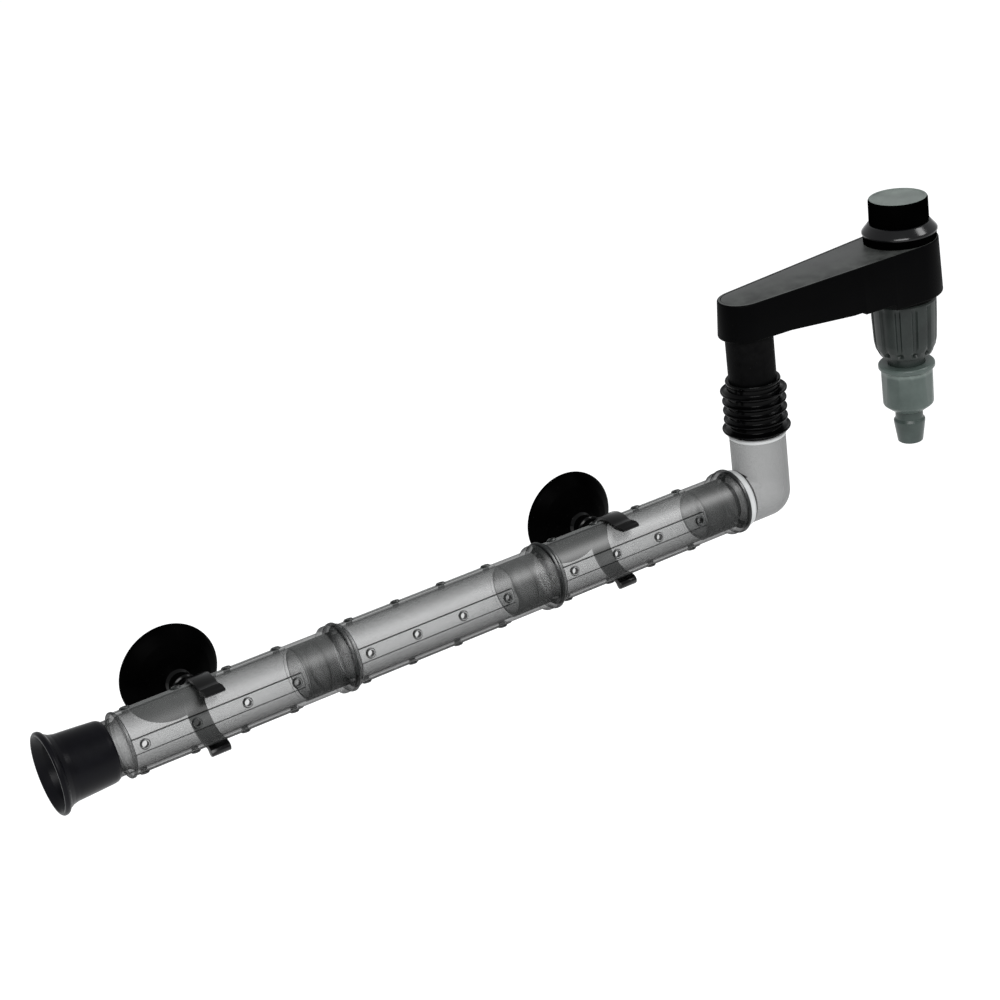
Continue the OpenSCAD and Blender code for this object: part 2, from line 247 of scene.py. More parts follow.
def noise(nt, scale, detail=4.0, rough=0.55, coord=None, stretch=None):
    tc = nt.nodes.new("ShaderNodeTexCoord")
    n = nt.nodes.new("ShaderNodeTexNoise")
    n.inputs["Scale"].default_value = scale
    n.inputs["Detail"].default_value = detail
    n.inputs["Roughness"].default_value = rough
    src = tc.outputs["Object"]
    if stretch:
        mp = nt.nodes.new("ShaderNodeMapping")
        mp.inputs["Scale"].default_value = stretch
        nt.links.new(src, mp.inputs[0])
        src = mp.outputs[0]
    nt.links.new(src, n.inputs["Vector"])
    return n


def ramp(nt, fac, a, b, lo=0.3, hi=0.7):
    r = nt.nodes.new("ShaderNodeValToRGB")
    r.color_ramp.elements[0].position = lo
    r.color_ramp.elements[1].position = hi
    r.color_ramp.elements[0].color = (*a, 1.0)
    r.color_ramp.elements[1].color = (*b, 1.0)
    nt.links.new(fac, r.inputs[0])
    return r


def spread(nt, fac, lo, hi):
    m = nt.nodes.new("ShaderNodeMapRange")
    m.inputs["From Min"].default_value = 0.3
    m.inputs["From Max"].default_value = 0.7
    m.inputs["To Min"].default_value = lo
    m.inputs["To Max"].default_value = hi
    nt.links.new(fac, m.inputs["Value"])
    return m


def surface(name, dark, light, rough=(0.35, 0.5), spec=0.4, patch=60.0, grain=1800.0,
            bump=0.05, bump_mm=0.03, coat=0.0, coat_rough=0.1, trans=0.0, ior=1.49, stretch=None,
            wear_and_edge_highlight=None, sheen=0.0):
    """Moulded plastic or rubber: cloudy colour, a fine grain in the bump, uneven gloss, paler edges: wear on the
    fittings, a painted edge highlight on the casing.
    """
    m, nt, sh, out = new_material(name)
    n1 = noise(nt, patch, 5.0, 0.6, stretch=stretch)
    col = ramp(nt, n1.outputs["Fac"], dark, light)
    src = col.outputs["Color"]
    if wear_and_edge_highlight:
        geo = nt.nodes.new("ShaderNodeNewGeometry")
        pr = nt.nodes.new("ShaderNodeValToRGB")
        pr.color_ramp.elements[0].position = 0.52
        pr.color_ramp.elements[1].position = 0.62
        nt.links.new(geo.outputs["Pointiness"], pr.inputs[0])
        n3 = noise(nt, 400.0, 3.0)
        mul = nt.nodes.new("ShaderNodeMath")
        mul.operation = "MULTIPLY"
        nt.links.new(pr.outputs["Color"], mul.inputs[0])
        nt.links.new(n3.outputs["Fac"], mul.inputs[1])
        mix = nt.nodes.new("ShaderNodeMix")
        mix.data_type = "RGBA"
        nt.links.new(mul.outputs[0], mix.inputs["Factor"])
        nt.links.new(src, mix.inputs["A"])
        mix.inputs["B"].default_value = (*wear_and_edge_highlight, 1.0)
        src = mix.outputs["Result"]
    nt.links.new(src, sh.inputs["Base Color"])
    r = spread(nt, n1.outputs["Fac"], rough[0], rough[1])
    nt.links.new(r.outputs[0], sh.inputs["Roughness"])
    n2 = noise(nt, grain, 3.0, 0.6)
    b = nt.nodes.new("ShaderNodeBump")
    b.inputs["Strength"].default_value = bump
    b.inputs["Distance"].default_value = bump_mm / 1000.0
    nt.links.new(n2.outputs["Fac"], b.inputs["Height"])
    nt.links.new(b.outputs[0], sh.inputs["Normal"])
    sh.inputs["Specular IOR Level"].default_value = spec
    sh.inputs["IOR"].default_value = ior
    if coat:
        sh.inputs["Coat Weight"].default_value = coat
        sh.inputs["Coat Roughness"].default_value = coat_rough
    if trans:
        sh.inputs["Transmission Weight"].default_value = trans
    if sheen:
        sh.inputs["Sheen Weight"].default_value = sheen
        sh.inputs["Sheen Roughness"].default_value = 0.5
    return m


def smoky(name, base, low, high, rough, spec, patch=40.0, fine=700.0, bump=0.05, edge=0.42,
          ior=1.22):
    """Translucent plastic: dark pigment that lets light through face on and closes up at the rims."""
    m, nt, sh, out = new_material(name)
    n1 = noise(nt, patch, 4.0, 0.6, stretch=(0.4, 1.0, 1.0))
    col = ramp(nt, n1.outputs["Fac"], base[0], base[1])
    nt.links.new(col.outputs["Color"], sh.inputs["Base Color"])
    r = spread(nt, n1.outputs["Fac"], rough[0], rough[1])
    nt.links.new(r.outputs[0], sh.inputs["Roughness"])
    n2 = noise(nt, fine, 2.0, 0.5)
    b = nt.nodes.new("ShaderNodeBump")
    b.inputs["Strength"].default_value = bump
    b.inputs["Distance"].default_value = 0.00002
    nt.links.new(n2.outputs["Fac"], b.inputs["Height"])
    nt.links.new(b.outputs[0], sh.inputs["Normal"])
    lw = nt.nodes.new("ShaderNodeLayerWeight")
    lw.inputs["Blend"].default_value = edge
    mr = nt.nodes.new("ShaderNodeMapRange")
    mr.inputs["From Min"].default_value = 0.0
    mr.inputs["From Max"].default_value = 1.0
    mr.inputs["To Min"].default_value = low
    mr.inputs["To Max"].default_value = high
    nt.links.new(lw.outputs["Facing"], mr.inputs["Value"])
    cloud = nt.nodes.new("ShaderNodeMath")
    cloud.operation = "MULTIPLY_ADD"
    nt.links.new(n1.outputs["Fac"], cloud.inputs[0])
    cloud.inputs[1].default_value = 0.06
    nt.links.new(mr.outputs[0], cloud.inputs[2])
    nt.links.new(cloud.outputs[0], sh.inputs["Alpha"])
    sh.inputs["Specular IOR Level"].default_value = spec
    sh.inputs["IOR"].default_value = ior
    return m


M = {}
# Casing: its paler edge colour is a painted highlight along the edges.
M["casing"] = surface("Casing_black", (0.0003, 0.0003, 0.0004), (0.0009, 0.0009, 0.001), (0.45, 0.6), 0.02,
                      45.0, 2200.0, 0.25, 0.02, wear_and_edge_highlight=(0.006, 0.006, 0.006))
# Cover: grained, and its grey, lighter than the casing, is a painted sheen of the light from above.
M["cover"] = surface("Cover_grained_painted_sheen", (0.014, 0.0148, 0.0142), (0.05, 0.053, 0.05), (0.36, 0.5), 0.42,
                     140.0, 2600.0, 0.35, 0.03)
M["collar"] = surface("Collar_gloss", (0.001, 0.001, 0.0012), (0.002, 0.002, 0.0024), (0.14, 0.24), 0.3,
                      60.0, 1500.0, 0.08, 0.02)
M["cap_side"] = surface("Cap_matte", (0.0002, 0.0002, 0.0002), (0.0006, 0.0006, 0.0006), (0.5, 0.65), 0.0,
                        60.0, 2600.0, 0.3, 0.02)
# Cap top: its grey-green is a painted reflection of the light above.
M["cap_painted_reflection"] = surface("Cap_top_painted_reflection", (0.07, 0.085, 0.077), (0.14, 0.165, 0.15), (0.3, 0.42), 0.5,
                       120.0, 2600.0, 0.2, 0.02)
M["fitting"] = surface("Fitting_grey_green", (0.036, 0.05, 0.045), (0.062, 0.08, 0.073), (0.3, 0.42), 0.35,
                       80.0, 1800.0, 0.12, 0.02, wear_and_edge_highlight=(0.15, 0.18, 0.165))
M["barb"] = surface("Barb_grey_green", (0.019, 0.028, 0.025), (0.036, 0.05, 0.045), (0.3, 0.42), 0.32,
                    80.0, 1800.0, 0.12, 0.02, wear_and_edge_highlight=(0.08, 0.1, 0.09))
# Lock nut: darker than the fitting, a painted shade under the arm's heel.
M["lock_nut"] = surface("Lock_nut_painted_shade", (0.006, 0.008, 0.0075), (0.016, 0.021, 0.019), (0.32, 0.44), 0.25,
                        80.0, 1800.0, 0.12, 0.02, wear_and_edge_highlight=(0.06, 0.07, 0.065))
M["tail"] = surface("Tail_dark", (0.01, 0.015, 0.013), (0.02, 0.028, 0.025), (0.3, 0.4), 0.3,
                    80.0, 1800.0, 0.1, 0.02)
M["rubber"] = surface("Rubber_bellows", (0.0003, 0.0003, 0.0004), (0.0008, 0.0008, 0.0009), (0.16, 0.26), 0.07,
                      120.0, 1500.0, 0.1, 0.02)
M["cup"] = surface("Rubber_cup", (0.0002, 0.0002, 0.0002), (0.0005, 0.0005, 0.0005), (0.3, 0.42), 0.004,
                   90.0, 1200.0, 0.08, 0.02)
M["nub"] = surface("Rubber_nub", (0.0005, 0.0005, 0.0005), (0.0012, 0.0012, 0.0012), (0.12, 0.2), 0.14,
                   90.0, 1200.0, 0.08, 0.02)
M["nozzle"] = surface("Rubber_nozzle", (0.0007, 0.0007, 0.0014), (0.0016, 0.0016, 0.003), (0.3, 0.42), 0.1,
                      100.0, 1600.0, 0.12, 0.02)
M["seal"] = surface("Rubber_seal", (0.001, 0.001, 0.001), (0.003, 0.003, 0.003), (0.35, 0.5), 0.2,
                    200.0, 2500.0, 0.1, 0.01)
M["clip"] = surface("Clip_black", (0.0005, 0.0005, 0.0006), (0.0013, 0.0013, 0.0014), (0.16, 0.28), 0.2,
                    120.0, 1800.0, 0.1, 0.02)
M["elbow"] = smoky("Elbow_frosted", ((0.1, 0.102, 0.101), (0.14, 0.143, 0.142)), 0.5, 1.0, (0.34, 0.46), 0.5,
                   bump=0.06, fine=900.0, edge=0.3, ior=1.35)
# Elbow flange: light grey ring, a painted highlight.
M["elbow_painted_highlight"] = smoky("Elbow_flange_painted_highlight", ((0.42, 0.43, 0.43), (0.55, 0.56, 0.56)), 0.6, 1.0, (0.3, 0.4), 0.5,
                          bump=0.06, fine=900.0, edge=0.3, ior=1.35)
# Elbow groove: near black, a painted shade in the groove.
M["elbow_painted_shade"] = smoky("Elbow_groove_painted_shade", ((0.002, 0.002, 0.002), (0.005, 0.005, 0.005)), 0.9, 1.0, (0.4, 0.5), 0.3,
                          bump=0.06, fine=900.0, edge=0.3)
M["smoke"] = smoky("Tube_smoky", ((0.008, 0.0083, 0.0082), (0.015, 0.0155, 0.0153)), 0.225, 1.01, (0.42, 0.5), 0.42,
                   bump=0.01, fine=160.0, edge=0.24)
M["smoke_strip"] = smoky("Tube_smoky_strip", ((0.018, 0.0186, 0.0184), (0.029, 0.03, 0.0298)), 0.22, 1.0, (0.42, 0.5), 0.2,
                         bump=0.01, fine=160.0, edge=0.24)
# Spigot wall: denser and darker, a painted shade where it sits inside the next socket.
M["smoke_spigot_painted_shade"] = smoky("Tube_smoky_spigot_painted_shade", ((0.001, 0.0012, 0.0011), (0.003, 0.0033, 0.0032)), 0.42, 1.0, (0.4, 0.5), 0.22,
                         edge=0.3)
# Near-black copy for walls of holes and grooves, rings and spigot ends: painted shade.
M["smoke_painted_shade"] = smoky("Tube_smoky_painted_shade", ((0.001, 0.0012, 0.0012), (0.003, 0.0033, 0.0032)), 0.72, 0.99,
                        (0.36, 0.44), 0.3, bump=0.01, fine=160.0)


def paint(ob, *mats):
    ob.data.materials.clear()
    for m in mats:
        ob.data.materials.append(M[m])


def finish_piece(ob, mat, body, slot, *nodes):
    if isinstance(mat, str):
        paint(ob, mat)
    if nodes:
        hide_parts(*nodes)
    if body:
        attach(ob, body)
    return ob


# ------------------------------------------------------------------------- arm
NOSE_X, NOSE_R, HEEL_R = -1.8, 11.2, 17.0
S = (HEEL_R - NOSE_R) / (LEG - NOSE_X)
TAN = math.pi / 2 + math.asin(S)
NOSE_Z, HEEL_Z, LAND = 70.3, 63.9, 66.5


def top_at(x):
    return 85.9 + 2.5 * (x + 20.0) / (LEG + 40.0)


HT = top_at(LEG)


def under(x):
    pts = [(-50, NOSE_Z), (13, NOSE_Z), (44, 67.7), (50, 67.7), (50.4, LAND), (65.6, LAND), (66, HEEL_Z), (200, HEEL_Z)]
    for (a, za), (b, zb) in zip(pts, pts[1:]):
        if x <= b:
            return za + (zb - za) * (x - a) / (b - a)
    return HEEL_Z


STATIONS = [78, 74, 70, 67.5, 66.0, 65.6, 62, 58, 54, 50.4, 50.0, 47, 44.0, 40, 36, 32, 28, 24, 20, 16, 13.0, 10, 6, 2]


def outline(d):
    """Plan of the arm moved in by d. The +Y half and the -Y half mirror each other."""
    a, b = NOSE_R - d, HEEL_R - d
    pts = []
    n = 40
    for i in range(n + 1):                     # heel arc from the +X end
        t = TAN * i / n
        pts.append((LEG + b * math.cos(t), b * math.sin(t)))
    t1 = (NOSE_X + a * math.cos(TAN), a * math.sin(TAN))
    t0 = pts[-1]
    for x in STATIONS:
        w = (x - t0[0]) / (t1[0] - t0[0])
        pts.append((x, t0[1] + (t1[1] - t0[1]) * w))
    for i in range(n + 1):                     # nose arc to the -X end
        t = TAN + (math.pi - TAN) * i / n
        pts.append((NOSE_X + a * math.cos(t), a * math.sin(t)))
    half = pts
    other = [(x, -y) for x, y in half[1:-1]][::-1]
    return half + other, len(half)


def arm_rings(rings, name, cap_painted_reflection=True, cap_under=True):
    verts, faces = [], []
    n = 0
    for d, zf in rings:
        pts, half = outline(d)
        n = len(pts)
        verts += [row(x, y, zf(x)) for x, y in pts]
    for k in range(len(rings) - 1):
        for i in range(n):
            j = (i + 1) % n
            faces.append((k * n + i, k * n + j, (k + 1) * n + j, (k + 1) * n + i))
    if cap_under:                              # strips across, because the underside has steps
        for i in range(half - 1):
            a, b = i, i + 1
            ma, mb = (n - i) % n, n - i - 1
            quad = [a, b, mb, ma]
            quad = list(dict.fromkeys(quad))
            if len(quad) >= 3:
                faces.append(tuple(quad[::-1]))
    if cap_painted_reflection:
        base = (len(rings) - 1) * n
        faces.append(tuple(base + i for i in range(n)))
    return verts, faces


def build_arm():
    r, lean = 0.7, 0.9                         # edge radius, draft of the side towards the top
    up = lambda o: (lambda x: top_at(x) + o)
    dn = lambda o: (lambda x: under(x) + o)
    rings = [(0.7, dn(0.0)), (0.35, dn(0.1)), (0.1, dn(0.35)), (0.0, dn(0.7))]
    for i in range(6):
        t = math.pi / 2 * i / 5
        rings.append((lean + r * (1 - math.cos(t)), up(-r * (1 - math.sin(t)))))
    rings += [(2.26, up(0.0)), (2.35, up(-0.04)), (2.4, up(-0.14)), (2.4, up(-0.8))]
    v, f = arm_rings(rings, "arm")
    body = link("arm_body", v, f, 30)
    fix_normals(body)
    inner = revolve("leg_in", [(8.3, 43, 0.3), (10.0, 43, 0.4), (10.0, 70.4), (8.3, 70.4)], "z", (0, 0, 0))
    stub = revolve("leg_out", [(9.05, 48.2, 0.2), (11.2, 48.2, 0.3), (11.2, 62.0), (14.3, 62.0, 0.35),
                               (14.3, 64.0), (9.05, 64.0)], "z", (LEG, 0, 0))
    body = join("arm_body", [body, inner, stub], 30)
    paint(body, "casing", "cover")
    low = row(0, 0, 84.5).z
    for p in body.data.polygons:               # the flat, upward-facing edge round the cover gets the cover's grain and its painted sheen
        if p.center.z > low and p.normal.z > 0.93:
            p.material_index = 1
    finish_piece(body, None, "arm", "arm", "arm_casing")
    c = [(2.48, up(-1.0)), (2.48, up(-0.22)), (2.54, up(-0.07)), (2.7, up(0.0))]
    v, f = arm_rings(c, "cover")
    # the cover's underside is flat, so its strips follow the first ring
    lid = link("arm_top_cover", v, f, 30)
    fix_normals(lid)
    shade(lid, 30)
    finish_piece(lid, "cover", "arm", "arm_top", "arm_cover")


build_arm()

collar = revolve("cap_collar", [
    (8.2, HT - 5), (10.5, HT - 5), (10.5, HT - 0.6), (15.4, HT - 0.6), (15.45, HT + 3.1, 0.2), (15.6, HT + 3.35, 0.1),
    (15.9, HT + 3.5, 0.15), (15.9, HT + 4.2, 0.3), (15.5, HT + 4.8, 0.5), (13.3, HT + 7.4, 0.4), (12.8, HT + 7.7, 0.2),
    (10.5, HT + 7.7), (10.5, HT + 13.9), (8.2, HT + 13.9)], "z", (LEG, 0, 0))
paint(collar, "collar", "cap_side")
for p in collar.data.polygons:                 # the drum under the rim is matt
    if p.center.z < row(0, 0, HT + 3.3).z:
        p.material_index = 1
finish_piece(collar, None, "arm", "collar", "neck_collar")


def build_cap():
    z, t = HT + 8.1, HT + 18.3
    prof = [(10.6, z), (12.4, z, 0.25), (12.6, z + 0.4, 0.3), (12.5, t - 0.9, 0.5), (12.1, t, 0.45),
            (11.2, t, 0.3), (10.8, t - 0.3, 0.3), (0.0, t - 0.28), (0.0, t - 2.9), (10.6, t - 2.9)]
    ob = revolve("filler_cap_turned", prof, "z", (LEG, 0, 0))
    paint(ob, "cap_side", "cap_painted_reflection")
    # the faces looking up at the top get the painted reflection
    lim = row(0, 0, t - 0.55).z
    for p in ob.data.polygons:
        if p.center.z > lim and p.normal.z > 0.7:
            p.material_index = 1
    finish_piece(ob, None, "cap", "cap", "filler_cap")


build_cap()


# ---------------------------------------------------------------- hose fitting
def build_lock_nut():
    t = HEEL_Z - 2.3
    n_fl, segs = 12, 12 * 20
    prof = rounded([(13.6, t, 0.3), (14.1, t - 0.6, 0.4), (13.9, t - 8, 2), (13.4, 43, 2), (12.8, 39.8, 1.2),
                    (11.2, 36.6, 0.3), (10.8, 36.4)], False, 5)
    outer = []
    for (r0, h0), (r1, h1) in zip(prof, prof[1:]):
        k = max(1, int(math.hypot(r1 - r0, h1 - h0) / 0.9))
        outer += [(r0 + (r1 - r0) * i / k, h0 + (h1 - h0) * i / k) for i in range(k)]
    outer.append(prof[-1])
    inner = [(7.95, 36.4), (7.95, 45.1), (11.3, 45.1), (11.3, t)]

    def radius(r, h, th):
        if r < 12.0 and h > 36.5 or r < 8.5 or (r < 11.4 and h >= 45):
            return r
        ph = (math.degrees(th) - 8) % (360 / n_fl)
        off = abs(ph if ph < 15 else ph - 30) * math.pi / 180 * 14
        deep = 0.95 if off < 0.75 else (0.95 * max(0.0, (1.35 - off) / 0.6) if off < 1.35 else 0.0)
        top = 1.0 if h < t - 2.0 else max(0.0, (t - 1.2 - h) / 0.8)
        low = 0.0
        if h < 41.5:                           # the hollows at the lower edge
            low = max(0.0, 1.0 - abs(off) / 2.4) * max(0.0, min(1.0, (41.5 - h) / 3.0)) * 2.0
        return r - max(deep * top, low)

    v, f = revolve_data(outer + inner, "z", (LEG, 0, 0), segs, True, radius)
    ob = link("lock_nut_fluted", v, f, 28)
    fix_normals(ob)
    shade(ob, 28)
    finish_piece(ob, "lock_nut", "lock_nut", "fitting", "ribbed_lock_nut")


build_lock_nut()

tail = revolve("hose_tail", [(5.6, 19.2), (7.5, 19.2), (7.9, 19.6), (7.9, 45.2), (10.8, 45.2, 0.2), (10.8, 48, 0.2),
                             (9, 48), (9, 55.2), (8.0, 55.2), (8.0, 56.8), (9, 56.8), (9, 61.4), (8.5, 62), (5.6, 62)],
               "z", (LEG, 0, 0))
finish_piece(tail, "tail", "coupler", "tail", "hose_coupler")


def build_union():
    n = 12
    ring = rounded([(11.3, 29.7), (11.4, 29.6, 0.1), (11.6, 29.6, 0.2), (12.2, 30.1, 0.3), (12.2, 31.5, 0.3),
                    (11.7, 32.1, 0.3), (8.0, 32.1, 0.2), (7.95, 31.5)], False, 4)
    body = [(6.6, 10.0), (7.0, 10.15), (8.6, 11.35), (10.2, 12.6), (10.7, 13.1), (10.95, 13.7)]
    body += [(11.0 + 0.3 * i / 12, 14.4 + 15.2 * i / 12) for i in range(13)]

    def radius(r, h, th):
        if h >= 29.62 or r < 10.25:
            return r
        a = (th % (2 * math.pi / n)) - math.pi / n
        flat = 11.3 * math.cos(math.pi / n) / math.cos(a)
        flat = min(flat, 11.24)
        return min(r, flat)

    prof = body + ring + [(7.95, 16.0), (6.06, 16.0), (6.06, 10.0)]
    v, f = revolve_data(prof, "z", (LEG, 0, 0), n * 16, True, radius)
    ob = link("union_nut_flats", v, f, 12)
    fix_normals(ob)
    shade(ob, 14)
    finish_piece(ob, "fitting", "union", "fitting", "union_nut")


build_union()

barb = revolve("hose_barb_turned", [
    (4.6, 17.6), (4.6, -4.8), (5.2, -4.8, 0.25), (5.5, -4.5, 0.3), (6.72, 3.9, 0.4), (6.8, 4.5, 0.2), (6.8, 5.3, 0.25),
    (6.0, 6.3, 0.4), (6.0, 16.1), (7.6, 16.1), (7.6, 17.6)], "z", (LEG, 0, 0))
finish_piece(barb, "barb", "barb", "fitting", "hose_barb")


# --------------------------------------------------------------- bellows, elbow
def build_bellows():
    rings = [(28.7, 14.3), (32.8, 13.4), (36.9, 13.4), (41.0, 13.4), (45.4, 13.9)]
    prof = [(10.3, 27.0), (12.3, 27.0, 0.4)]
    for h, r in rings:
        prof += [(10.95, h - 1.4, 0.6), (r - 1.4, h - 0.62, 0.8), (r - 0.1, h - 0.1, 0.2), (r, h + 0.5, 0.25),
                 (r - 0.5, h + 0.6, 0.25), (r - 1.4, h + 0.1, 0.8), (10.95, h + 1.1, 0.6)]
    prof += [(11.1, 48.6, 0.6), (11.55, 50.0, 0.4), (11.3, 50.6, 0.3), (10.05, 50.6), (10.05, 43.4), (10.3, 42.8)]
    prof += [(10.3, h) for h in (41.4, 40.2, 39.0, 37.8, 36.6, 35.4, 34.6, 33.8, 30.5)]
    ob = revolve("bellows_rubber", prof, "z", (0, 0, 0), 144, True, 5, 50)
    paint(ob, "rubber")
    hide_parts("bellows")
    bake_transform(ob)


build_bellows()


def build_elbow():
    R, seg, steps = 11.8, 96, 14
    verts, faces = [], []

    def add(p):
        verts.append(row(*p))
        return len(verts) - 1

    # upright part: rings from the top down to the mitre
    up_prof = rounded([(0.0, 34.0), (9.8, 34.0, 0.2), (10.2, 33.5, 0.2), (10.2, 26.6), (11.8, 26.6, 0.25),
                       (12.15, 26.3, 0.2), (12.15, 25.5, 0.2), (11.8, 25.2), (11.8, 24.0)], False, 4)
    rings = []
    for r, h in up_prof:
        if r < 1e-6:
            rings.append([add((0, 0, h))])
        else:
            rings.append([add((r * math.cos(2 * math.pi * k / seg), r * math.sin(2 * math.pi * k / seg), h)) for k in range(seg)])
    ends = []
    for k in range(seg):
        t = 2 * math.pi * k / seg
        x = R * math.cos(t)
        ends.append((-x if x < 0 else 0.0))
    for s in range(1, 7):
        w = s / 6.0
        rings.append([add((R * math.cos(2 * math.pi * k / seg), R * math.sin(2 * math.pi * k / seg),
                           24.0 + (ends[k] - 24.0) * w)) for k in range(seg)])
    last_up = rings[-1]
    for a, b in zip(rings, rings[1:]):
        for k in range(seg):
            j = (k + 1) % seg
            if len(a) == 1:
                faces.append((a[0], b[j], b[k]))
            else:
                faces.append((a[k], a[j], b[j], b[k]))
    # corner: a quarter of a ball between the upright half circle and the level one
    half = [k for k in range(seg) if math.cos(2 * math.pi * k / seg) > -1e-9]
    half.sort(key=lambda k: math.sin(2 * math.pi * k / seg))
    strips = [[last_up[k] for k in half]]
    for s in range(1, steps + 1):
        a = math.pi / 2 * s / steps
        line = []
        for k in half:
            t = 2 * math.pi * k / seg
            x, y = R * math.cos(t), R * math.sin(t)
            if abs(x) < 1e-6:
                line.append(last_up[k])
            else:
                line.append(add((x * math.cos(a), y, -x * math.sin(a))))
        strips.append(line)
    for a, b in zip(strips, strips[1:]):
        for k in range(len(half) - 1):
            quad = list(dict.fromkeys([a[k], a[k + 1], b[k + 1], b[k]]))
            if len(quad) >= 3:
                faces.append(tuple(quad))
    # level part: the ring at the mitre, then along -X
    mitre = []
    low = strips[-1]
    for k in range(seg):
        x = R * math.cos(2 * math.pi * k / seg)
        if x < -1e-9:
            mitre.append(last_up[k])
        else:
            mitre.append(low[half.index(k)])
    # vertex k of the mitre ring lies at (-?, y, z) with z = -R cos t, so the level rings use the same order
    m = -16.0
    lv = rounded([(11.8, -9.0), (11.8, m + 4.6, 0.25), (11.0, m + 4.5, 0.2), (11.0, m + 3.6, 0.2), (12.4, m + 3.4, 0.25),
                  (12.5, m + 0.6, 0.3), (12.2, m + 0.3, 0.1), (10.7, m + 0.3), (10.7, m - 10.2), (9.45, m - 10.2),
                  (9.45, m - 11.8), (10.7, m - 11.8), (10.7, m - 19.0, 0.2), (10.3, m - 19.5, 0.2), (8.8, m - 19.5),
                  (8.8, m - 2.0), (0.0, m - 2.0)], False, 4)
    prev = mitre
    # the level rings start clear of the mitre, past its farthest point
    first = []
    for k in range(seg):
        t = 2 * math.pi * k / seg
        first.append(add((-11.95, R * math.sin(t), -R * math.cos(t))))
    for k in range(seg):
        j = (k + 1) % seg
        faces.append((prev[k], prev[j], first[j], first[k]))
    prev = first
    for r, h in lv:
        if h > -11.95 and r > 11.7:
            continue
        if r < 1e-6:
            ring = [add((h, 0, 0))]
        else:
            ring = [add((h, r * math.sin(2 * math.pi * k / seg), -r * math.cos(2 * math.pi * k / seg))) for k in range(seg)]
        for k in range(seg):
            j = (k + 1) % seg
            if len(ring) == 1:
                faces.append((prev[k], prev[j], ring[0]))
            else:
                faces.append((prev[k], prev[j], ring[j], ring[k]))
        prev = ring
    used = sorted({i for f in faces for i in f})
    remap = {o: n for n, o in enumerate(used)}
    ob = link("elbow_frosted", [verts[i] for i in used], [tuple(remap[i] for i in f) for f in faces], 40)
    fix_normals(ob)
    shade(ob, 40)
    paint(ob, "elbow", "elbow_painted_highlight", "elbow_painted_shade", "smoke_spigot_painted_shade", "smoke_painted_shade")
    for p in ob.data.polygons:                 # painted shade in the groove by the joint, a painted highlight on the flange and the lip at the top
        x, z = p.center.x * 1000 + SX, p.center.z * 1000 + BD
        d = math.hypot(p.center.y * 1000, z)
        if -12.7 < x < -11.3 and d < 12.35:
            p.material_index = 2
        # the spigot inside the tube's socket gets painted shade, darkest at its end
        elif x < -34.8 and d > 8.7:
            p.material_index = 4
        elif x < -16.3 and d > 10.2:
            p.material_index = 3
        elif -15.75 < x < -12.5 and d > 11.9 or z > 25.3 and d > 11.5:
            p.material_index = 1
    finish_piece(ob, None, "elbow", "elbow", "elbow")


build_elbow()

# -------------------------------------------------------------------- spray bar
L, GAP, HOLE_P, FIRST = 92.9, 0.3, 20.6, 5.9
PITCH = L + GAP


